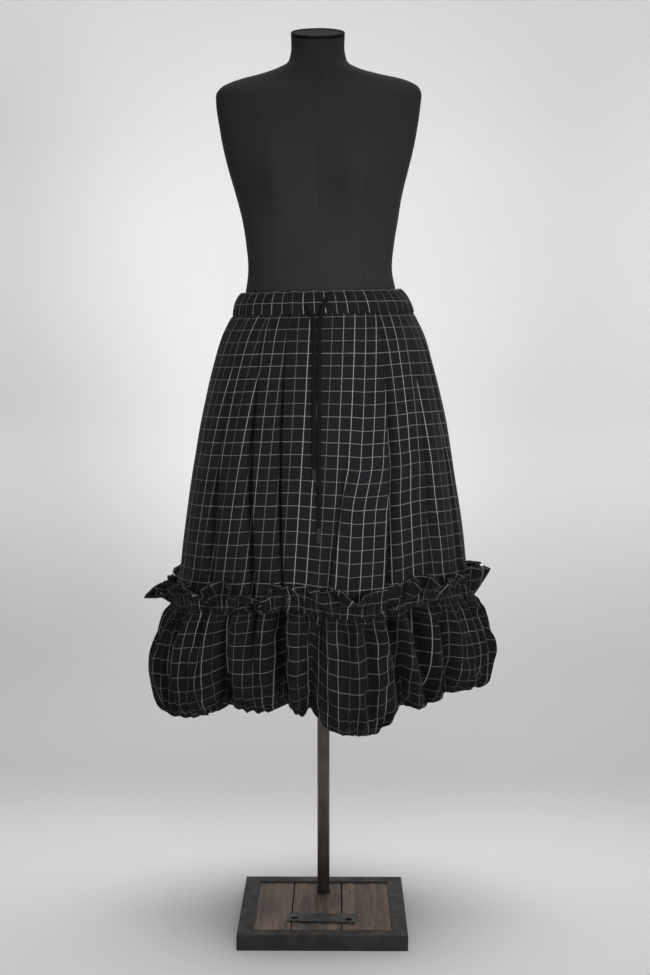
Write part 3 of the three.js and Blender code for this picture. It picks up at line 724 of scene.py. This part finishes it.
def puffAt(angle):
    # roundness, swell and hem height of the puff at each angle; the roundness is the square root of
    # 1 - across^roundness, where across goes from 1 at the puff's ends to 0 at its middle
    turn = np.where(angle > puffs["end"][-1], angle - 360, angle)
    i = np.clip(np.searchsorted(puffs["end"], turn), 0, len(puffs["end"]) - 1)
    across = np.abs(2 * (turn - puffs["start"][i]) / (puffs["end"][i] - puffs["start"][i]) - 1)
    round_ = np.sqrt(np.clip(1 - across ** bubble["roundness"], 0, 1))
    return round_, puffs["swell"][i], puffs["low"][i]


def pleated(phase):
    # round ridges with sharp valleys: |sin|^0.8, moved to lie about 0
    return np.abs(np.sin(phase)) ** 0.8 - 0.6


def bubbleGrid(angle, row):
    # row 0 is the gathering seam and row 1 the turned-under edge: the profile's reach and drop,
    # scaled by each puff, with fine gathers at the seam that open into folds lower down and bunch
    # again under the hem, less the tucks; firm says where the cloth is drawn to this start
    round_, swell, low = puffAt(wrapped(angle))
    seam = seamRing(angle)
    out, down = columnsAt(row, bubbleProfile, "row", "out", "down")
    out = out * mix(swell * bubble["notchSwell"], swell, round_)
    hem = mix(bubble["notch"], low, round_)
    z = mix(seam[:, 2] - 2 * bubble["gap"], hem, down)
    fullness = np.clip(1 - (seam[:, 2] - z) / bubble["fade"], 0, 1)
    base, normal = skirtOval(angle, sections["z"][0])
    point = mix(base[None], seam[None, :, :2], fullness[..., None])
    gather = pleated(np.radians(angle) * 38 + 1.4 * turns(angle, 9, 51))
    sway = 0.5 * np.sin(row * 5 + turns(angle, 4, 60))
    folds = pleated(np.radians(angle) * 19 + 1.2 * turns(angle, 6, 52) + sway)
    sway = 0.7 * np.sin(row * 9 + turns(angle, 5, 61))
    bunch = pleated(np.radians(angle) * 37 + 1.3 * turns(angle, 8, 53) + sway)
    relief = bubble["gather"] * gather * np.exp(-((row - 0.03) / 0.14) ** 2) * ease(row, 0, 0.03)
    relief = relief + bubble["fold"] * folds * ease(row, 0.02, 0.14) * (1 - ease(row, 0.3, 0.62))
    relief = relief + bubble["bunch"] * bunch * ease(row, 0.46, 0.62)
    firm = 1.0 * ((row < 0.08) | ((folds < -0.42) & (row < 0.34)) | ((bunch < -0.45) & (row > 0.56)))
    random = np.random.default_rng(17)
    around = np.linspace(-90, 270, bubble["lumps"], endpoint=False)
    around = around + random.uniform(-2.4, 2.4, bubble["lumps"])
    limits = [(-3, 3), (7, 16), (0.7, 1.5), (0.7, 1.5), (0.36, 0.5), (0.7, 0.85)]
    small = [[random.uniform(*pair) for pair in limits] for _ in around]
    small = [(at, at + slant, *rest) for at, (slant, *rest) in zip(around, small)]
    big = zip(tucks["top"], tucks["bottom"], tucks["depth"] * bubble["tuckScale"], tucks["left"],
              tucks["right"], tucks["start"], tucks["end"])
    for top, bottom, depth, left, right, start, end in [*big, *small]:
        deep = trough(apart(angle, mix(top, bottom, row / 0.6)), left, right)
        deep = deep * ease(row, start, start + 0.08) * (1 - ease(row, end - 0.12, end))
        relief = relief - depth * deep
        firm = np.maximum(firm, deep * (1 + (depth > 26) + 2 * (depth > 50)))
    point = point + normal * (out + relief)[..., None]
    return raised(point, z), firm


def settled(points, flat, held, rules):
    # Blender's cloth on a closed ring of cloth: each spring's length comes from the flat cut, and
    # held is how firmly each point is drawn to where it starts, 1 being sewn down
    piece = gridPiece("settling", points, ring=True)
    piece.shape_key_add(name="Basis")
    cut = piece.shape_key_add(name="cut")
    cut.data.foreach_set("co", (flat.reshape(-1, 3) * mm).ravel())
    group = piece.vertex_groups.new(name="held")
    firm = np.round(held.ravel(), 2)
    for value in np.unique(firm[firm > 0]):
        group.add(np.flatnonzero(firm == value).tolist(), float(value), "REPLACE")
    modifier = piece.modifiers.new("settle", "CLOTH")
    settings = {"rest_shape_key": cut, "vertex_group_mass": "held", **rules["settings"]}
    for key, value in settings.items():
        setattr(modifier.settings, key, value)
    modifier.collision_settings.use_collision = False
    modifier.collision_settings.use_self_collision = True
    modifier.collision_settings.self_distance_min = rules["apart"] * mm
    modifier.point_cache.frame_start, modifier.point_cache.frame_end = 1, rules["frames"]
    for step in range(1, rules["frames"] + 1):
        bpy.context.scene.frame_set(step)
    hung = piece.evaluated_get(bpy.context.evaluated_depsgraph_get()).data
    result = np.empty(len(hung.vertices) * 3)
    hung.vertices.foreach_get("co", result)
    bpy.data.objects.remove(piece)
    bpy.context.scene.frame_set(1)
    return result.reshape(points.shape) / mm


def cylinder(around, height, rows, columns):
    # the flat cut rolled into a tube, whose length around may differ from row to row
    angle = np.linspace(0, 2 * np.pi, columns, endpoint=False)
    z = np.linspace(0, height, rows)[:, None] + 0 * angle
    radius = around / (2 * np.pi)
    return np.stack([radius * np.sin(angle) + 0 * z, -radius * np.cos(angle) + 0 * z, z], axis=-1)


def creased(grid, angle, row):
    # sharp small creases: waves over the flat cloth in several directions, each a valley
    # exp(-(sin / width)^2) that shows in patches only, taken inwards from the surface
    random = np.random.default_rng(83)
    around, down = np.radians(angle), row * bubble["drop"]
    depth = 0
    for i in range(bubble["creaseWays"]):
        waves, slope = random.integers(14, 36), random.uniform(-0.05, 0.05)
        phase = waves * around + slope * down + 1.3 * turns(angle, 6, 90 + i) + random.uniform(0, 6)
        where = np.sin(down / 55 + random.uniform(0, 6) + turns(angle, 5, 130 + i))
        patch = np.clip(1.6 * turns(angle, 8, 110 + i) * where, 0, 1)
        valley = np.exp(-(np.sin(phase) / bubble["creaseWide"]) ** 2)
        depth = depth + random.uniform(0.5, 1) * patch * valley
    depth = bubble["creased"] * np.minimum(depth, 1.4) * ease(row, 0.03, 0.12)
    depth = depth * (1 - ease(row, 0.8, 0.95))
    outward = unit(np.cross(np.gradient(grid, axis=1), np.gradient(grid, axis=0)))
    outward[:, [0, -1]] = unit(outward[:, :1] + outward[:, -1:])
    return grid - outward * depth[..., None]


def parted(grid, across, up, *names):
    # a ring of cloth cut into equal strips, each with its own share of the flat cut
    wide = (grid.shape[1] - 1) // len(names)
    for i, name in enumerate(names):
        part = slice(i * wide, (i + 1) * wide + 1)
        yield name, grid[:, part], cornerUv(across[part] + 0 * up, up + 0 * across[part])


def makeBubble():
    # the placed puffs, settled by the cloth simulation with the deepest tucks, the notches between
    # puffs and the inner edge held, then creased and parted into four strips
    row = np.linspace(1, 0, bubble["rows"] + 1)[:, None]
    angle = np.linspace(-90, 270, bubble["columns"] * 2 + 1)
    grid, firm = bubbleGrid(angle, row)
    flat = cylinder(bubble["cut"], bubble["drop"], len(grid), len(angle) - 1)
    round_, _, _ = puffAt(wrapped(angle[:-1]))
    tacks = (round_ < 0.45) & (np.abs(row - 0.72) < 0.06)
    notch = (round_ < 0.5) & (row < 0.7)
    drawn = firm[:, :-1]
    soft = np.where(drawn > 2, bubble["deepFirm"], bubble["firm"] * ((drawn > 0.75) | notch))
    held = np.where((row > 0.999) | (row < 0.001) | tacks, 1.0, soft)
    hung = settled(grid[:, :-1], flat, held, bubbleCloth)
    grid = np.concatenate([hung, hung[:, :1]], axis=1)
    grid = creased(grid, angle, row)
    across = np.linspace(0, bubble["cut"], len(angle))
    down = (1 - row) * bubble["drop"]
    names = ["front_left", "front_right", "back_right", "back_left"]
    for name, points, uv in parted(grid, across, -down, *names):
        cloth = gridPiece(f"bubble_hem_{name}", points, uv)
        wall(cloth, bubble["thickness"], 1)
        # the hem takes the darker copy of the cloth: painted shade
        dress(cloth, shadedHemFinish, "check_cloth", f"bubble_{name}")


makeBubble()
print("bubble hem made")

# frill

frill = {"height": 57, "thickness": 0.7, "columns": 960, "rows": 12, "fullness": 1.54, "sewn": 0.64,
         "ruffles": 44, "start": 2.5, "lean": 10, "wave": 10, "swing": 7, "clear": 1.2, "perDegree": 4,
         "droopAt": -83, "droopWide": 17, "droopOut": 9, "droopDown": 0.2, "checkAcross": 5, "checkUp": 4}
frillCloth = {"frames": 24, "apart": 1.4, "settings": {
    "quality": 5, "mass": 0.05, "air_damping": 1, "tension_stiffness": 15, "compression_stiffness": 15,
    "shear_stiffness": 3, "bending_stiffness": 1.2}}


def frillGrid(angle, row):
    # row 0 is sewn at the seam and row 1 is free: the strip leans out and meanders, with a swing
    # out and back and a sideways swing at twice the rate, both growing up the strip, and it droops
    # by exp(-(distance / width)^2) round one place
    seam = seamRing(angle)
    _, normal = skirtOval(angle, sections["z"][0])
    side = np.stack([-normal[:, 1], normal[:, 0]], axis=-1)
    phase = np.radians(angle) * frill["ruffles"] + 2.2 * turns(angle, 9, 71)
    phase = phase + 0.8 * row * turns(angle, 7, 72)
    size = np.clip(1 + 0.55 * turns(angle, 13, 73), 0.3, 1.8)
    flop = np.clip(turns(angle, 17, 74), -0.8, 1)
    droop = np.exp(-(apart(angle, frill["droopAt"]) / frill["droopWide"]) ** 2) * row
    grow = row ** 0.8
    lean = row * frill["lean"] * (1 + 0.6 * flop)
    wave = frill["wave"] * size * grow * (0.8 + np.cos(phase))
    out = frill["droopOut"] * droop + frill["start"] + lean + wave
    swing = frill["swing"] * size * grow * np.sin(2 * phase)
    rise = frill["height"] * row * (1 - 0.15 * np.clip(flop, 0, 1) * row - frill["droopDown"] * droop)
    z = seam[:, 2] + panel["gap"] * 2 + rise
    point = seam[None, :, :2] + normal * out[..., None] + side * swing[..., None]
    inside, _ = skirtOval(angle, z)
    seamInside, _ = skirtOval(angle, seam[:, 2])
    point = point + (inside - seamInside[None])
    return raised(point, z)


def pushedOut(grid):
    # no point nearer to the pole than the skirt panel behind it: sizes are compared as shares of
    # the skirt's oval, looked up by angle and by height above the seam
    def share(points):
        s, c = points[..., 0] / sections["half"][0], -points[..., 1] / sections["front"][0]
        c = np.where(c > 0, c, -points[..., 1] / sections["back"][0])
        return np.hypot(s, c), wrapped(np.degrees(np.arctan2(s, c)))
    steps = 360 * frill["perDegree"]
    around = np.linspace(-90, 270, steps + 1)
    levels = []
    for low in panelFeet:
        size, turn = share(low)
        order = np.argsort(turn)
        levels.append([np.interp(around, turn[order], size[order], period=360),
                       np.interp(around, turn[order], low[order, 2], period=360)])
    levels = np.array(levels)
    size, turn = share(grid)
    column = np.round((turn + 90) * frill["perDegree"]).astype(int) % steps
    high = levels[:, 1][:, column]
    near = levels[:, 0][:, column]
    least = near[0]
    for low in range(len(levels) - 1):
        up = np.clip((grid[..., 2] - high[low]) / (high[low + 1] - high[low]), 0, 1)
        least = np.where(grid[..., 2] > high[low], mix(near[low], near[low + 1], up), least)
    least = least + frill["clear"] / sections["front"][0]
    return grid * np.stack([np.maximum(1, least / size)] * 2 + [np.ones_like(size)], axis=-1)


def makeFrill():
    # the ruffled start, settled by the cloth simulation with only its sewn edge held, then kept off
    # the panels and parted into a front and a back strip
    row = np.linspace(0, 1, frill["rows"] + 1)[:, None]
    angle = np.linspace(-90, 270, frill["columns"] + 1)
    grid = frillGrid(angle, row)
    cut = alongRows(grid)[0, -1] * frill["fullness"]
    around = cut * mix(frill["sewn"], 1, ease(row, 0, 0.4))
    flat = cylinder(around, frill["height"], len(row), frill["columns"])
    held = np.where(row < 0.001, 1.0, 0.0) + 0 * angle[:-1]
    hung = settled(grid[:, :-1], flat, held, frillCloth)
    grid = pushedOut(np.concatenate([hung, hung[:, :1]], axis=1))
    across = np.linspace(0, cut, len(angle)) + frill["checkAcross"]
    up = row * frill["height"] + frill["checkUp"]
    for name, points, uv in parted(grid, across, up, "front", "back"):
        cloth = gridPiece(f"frill_heading_{name}", points, uv)
        wall(cloth, frill["thickness"], 1)
        # the frill takes the darker copy of the cloth: painted shade
        dress(cloth, shadedHemFinish, "check_cloth", f"frill_{name}")


makeFrill()
print("frill made")

# dress form

form = {"columns": 200, "rings": 170, "bustHeight": 1338, "bustSide": 72, "bustReach": 30, "bustX": 46,
        "bustZ": 58, "socket": 14}
formSections = table("z half front back lean square tilt",
    (880, 150, 96, 104, -3, 2.1, 0), (900, 167, 106, 117, -3, 2.2, 0), (950, 173, 110, 124, -3, 2.2, 0),
    (1010, 170, 110, 121, -4, 2.2, 0), (1070, 158, 104, 108, -4, 2.2, 0), (1112, 144, 96, 96, -4, 2, 0),
    (1150, 137.9, 91.4, 89.9, -4.5, 2, 0), (1190, 131.5, 88, 85, -6, 2, 0), (1239, 135, 89, 87, -6, 2.2, 0),
    (1283, 142, 92, 92, -6, 2.3, 0), (1326, 151, 94, 97, -8, 2.4, 0), (1369, 162.5, 92, 101, -9, 2.5, 0),
    (1412, 173, 85, 102, -9, 2.6, 0), (1455, 180.5, 74, 98, -9, 2.7, 0), (1490, 185, 63, 88, -9, 2.8, 0),
    (1508, 185, 56, 78, -8, 2.8, 0), (1519, 178, 51, 70, -6, 2.6, 0), (1530, 156, 47, 63, -4, 2.4, 0),
    (1541, 112, 46, 57, -7, 2.2, 0), (1551, 78, 48, 53, -10, 2, 0), (1563, 55, 50, 51, -10, 2, 1.5),
    (1578, 49.5, 49.5, 49.5, -10, 2, 4), (1612, 48.5, 48.5, 48.5, -10, 2, 19.5))
princessLine = table("z side",
    (880, 90), (1000, 92), (1180, 80), (1260, 82), (1338, 86), (1420, 96), (1500, 120), (1540, 130))


def makeForm():
    # rings |x|^square + |y|^square = 1 through the sections, with two soft swells in front; the bottom
    # closes to the pole, and the seams hold each point's distance from the centre line, the side line
    # and the princess line
    step = np.hypot(np.diff(formSections["z"]), 0.6 * np.diff(formSections["half"]))
    far = np.cumsum(np.concatenate([[0], step]))
    at = np.linspace(0, far[-1], form["rings"])[:, None]
    z, half, front, back, lean, square, tiltOf = (through(at, far, formSections[key]) for key in
                                                  ("z", "half", "front", "back", "lean", "square", "tilt"))
    angle = np.radians(np.linspace(0, 360, form["columns"], endpoint=False))
    s, c = np.sin(angle), np.cos(angle)
    fuller = (np.abs(s) ** square + np.abs(c) ** square) ** (-1 / square)
    x = half * s * fuller
    swell = form["bustReach"] * np.exp(-((np.abs(x) - form["bustSide"]) / form["bustX"]) ** 2
                                       - ((z - form["bustHeight"]) / form["bustZ"]) ** 2)
    ahead = -front * c * fuller - swell * np.clip(3 * c, 0, 1)
    y = np.where(c > 0, ahead, -back * c * fuller)
    high = z + y * np.tan(np.radians(tiltOf))
    rings = np.stack([lean + x, y, high], axis=-1)
    under = np.stack([form["socket"] * s, -form["socket"] * c, 0 * s + formSections["z"][0]], axis=-1)
    grid = np.concatenate([under[None], rings], axis=0)
    princess = np.abs(x) - through(z, princessLine["z"], princessLine["side"])
    seams = np.stack([x, princess, y], axis=-1)
    seams = np.concatenate([seams[:1] + 50, seams], axis=0)
    torso = gridPiece("form_cover", grid, ring=True, attributes={"seams": seams})
    dress(torso, jersey(), "form_jersey", "dress_form")


neck = {"tilt": 19.5, "top": 1618, "thickness": 6, "gap": 0.3, "lean": -10, "columns": 96, "profile": [
    (48.4, 0), (48.9, 1.5), (48.9, 4), (48.2, 5.4), (46.8, 6), (45.4, 5.6), (44.9, 4.4), (43.5, 4.1),
    (22, 3.8), (0.01, 3.8)]}


def makeNeckCap():
    # turned profile: a rolled rim round a slightly sunken top, on a plane that leans forward
    level = neck["top"] - neck["thickness"] + neck["gap"]
    profile = [(radius, level + height) for radius, height in neck["profile"]]
    cap = turned("neck_top", profile, neck["columns"], neck["lean"], neck["tilt"])
    dress(cap, satin(), "neck_satin", "neck_cap")


makeForm()
makeNeckCap()
print("dress form made")

# stand

pole = {"radius": 11.5, "bottom": 4.3, "top": 1000, "edge": 0.5, "columns": 96}
ring = {"radius": 13, "height": 3.5, "bevel": 1, "bottom": 25, "clear": 0.3}


def makeStand():
    # the base's own solids, welded and bevelled, and a turned pole with its foot ring
    darkSteel = steel("dark_steel", (0.0196, 0.018, 0.0163), (0.052, 0.047, 0.042), 0.6)
    poleSteel = steel("pole_steel", (0.047, 0.0407, 0.0364), (0.12, 0.105, 0.0945), 0.42)
    blackSteel = steel("black_steel", (0.011, 0.011, 0.011), (0.03, 0.029, 0.028), 0.48)
    base = {
        "base_frame": (1.2, darkSteel),
        "base_plate": (0.4, blackSteel),
        "board_left": (0.9, wood("dark_wood_left", 0.3)),
        "board_middle": (0.9, wood("dark_wood_middle", 1.1)),
        "board_right": (0.9, wood("dark_wood_right", 2.4)),
        "nameplate": (0.6, blackSteel),
        "nameplate_fixing_left": (0.5, blackSteel),
        "nameplate_fixing_right": (0.5, blackSteel),
    }
    for name, (width, finish) in base.items():
        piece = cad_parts[name]
        piece.modifiers.new("weld", "WELD").merge_threshold = 0.02 * mm
        bevel = piece.modifiers.new("bevel", "BEVEL")
        bevel.width, bevel.segments, bevel.limit_method = width * mm, 3, "ANGLE"
        for place in piece.material_slots:
            place.material = finish
    radius, low, high, edge = pole["radius"], pole["bottom"], pole["top"], pole["edge"]
    profile = [(0.01, low), (radius - edge, low), (radius, low + edge), (radius, high - edge),
               (radius - edge, high), (0.01, high)]
    shaft = turned("pole_tube", profile, pole["columns"])
    dress(shaft, poleSteel, "dark_steel", "pole")
    inner, low, high = radius + ring["clear"], ring["bottom"], ring["bottom"] + ring["height"]
    outer, bevel = ring["radius"], ring["bevel"]
    profile = [(inner, low), (outer, low), (outer, high - bevel), (outer - bevel * 0.3, high - bevel * 0.3),
               (inner, high), (inner, low)]
    foot = turned("pole_foot_ring", profile, pole["columns"])
    dress(foot, darkSteel, "dark_steel", "pole_collar")


makeStand()
print("stand made")

# floor and light

# low is a darker colour painted as shade where the floor bends up into the wall
stage = {"floor": (0.77, 0.755, 0.755), "low": (0.5, 0.49, 0.49), "wall": (0.76, 0.75, 0.75),
         "behind": 1900, "half": 9000, "bend": 900, "high": 6500}


def makeStage():
    # pale floor that bends up in a quarter circle into a wall behind; its colour goes from floor to the
    # darker low with the distance back, painted shade at the foot of the bend, from low to wall with
    # height, and it is clear seen from its back
    sweep = np.radians(np.linspace(0, 90, 24))
    back = stage["behind"] - stage["bend"] + stage["bend"] * np.sin(sweep)
    high = stage["bend"] * (1 - np.cos(sweep))
    line = [(-stage["half"], 0), *zip(back, high), (stage["behind"], stage["high"])]
    grid = np.array([[(x, y, z) for x in (-stage["half"], stage["half"])] for y, z in line], float)
    sheet = gridPiece("studio_sweep", grid)
    material, tree, shader = newFinish("studio_paper", Roughness=0.9, Specular_IOR_Level=0.1)
    place = node(tree, "TexCoord").outputs["Object"]
    parts = node(tree, "SeparateXYZ", {0: place})
    far, height = parts.outputs[1], parts.outputs[2]
    cloud = times(rangeOf(noiseOf(place, 1.3, 5), 0.3, 0.7), 0.08)
    share = minus(rangeOf(height, 0.05, 0.8), cloud)
    # painted shade: the floor darkens to the low colour from 0.1 to 1 m back, towards the bend
    low = blend(rangeOf(far, 0.1, 1.0), stage["floor"], stage["low"])
    tree.links.new(blend(share, low, stage["wall"]), shader.inputs["Base Color"])
    behind = node(tree, "NewGeometry").outputs["Backfacing"]
    tree.links.new(minus(1, behind), shader.inputs["Alpha"])
    sheet.data.materials.append(material)


def areaLight(name, place, target, size, power, spread=180):
    # round lamp at a place in metres facing its target, with its size, watts and spread in degrees
    data = bpy.data.lights.new(name, "AREA")
    data.spread = math.radians(spread)
    data.shape, data.size, data.energy = "DISK", size, power
    light = bpy.data.objects.new(name, data)
    light.location = Vector(place)
    light.rotation_euler = (Vector(target) - Vector(place)).to_track_quat("-Z", "Y").to_euler()
    bpy.context.scene.collection.objects.link(light)


def makeLight():
    # key and fill in front, one low for the base, one above and one on each side of the backdrop, and a
    # world that is brighter to the camera than to the object
    areaLight("key", (1.3, -2.4, 0.95), (0, 0, 1.0), 0.8, 4.6, 42)
    areaLight("fill", (-1.1, -2.5, 0.8), (0, 0, 1.0), 0.8, 1.7, 42)
    areaLight("low", (0.15, -2.6, 1.6), (0.05, 0.05, 0), 1.4, 1.5, 36)
    areaLight("top", (0.2, 0.8, 4.8), (0.2, 0.2, 0), 4.2, 175)
    areaLight("left", (-2.2, 0.7, 1.4), (-0.4, 1.9, 1.1), 1.7, 5.4, 90)
    areaLight("right", (2.2, 0.7, 1.4), (0.4, 1.9, 1.1), 1.7, 8, 90)
    world = bpy.data.worlds.new("studio")
    world.use_nodes = True
    tree = world.node_tree
    tree.nodes["Background"].inputs[0].default_value = (1, 1, 1, 1)
    seen = rangeOf(node(tree, "LightPath").outputs["Is Camera Ray"], 0, 1, 0.14, 0.6)
    tree.links.new(seen, tree.nodes["Background"].inputs[1])
    bpy.context.scene.world = world
    bpy.context.scene.view_settings.view_transform = "Standard"


makeStage()
makeLight()
print("floor and light ready")
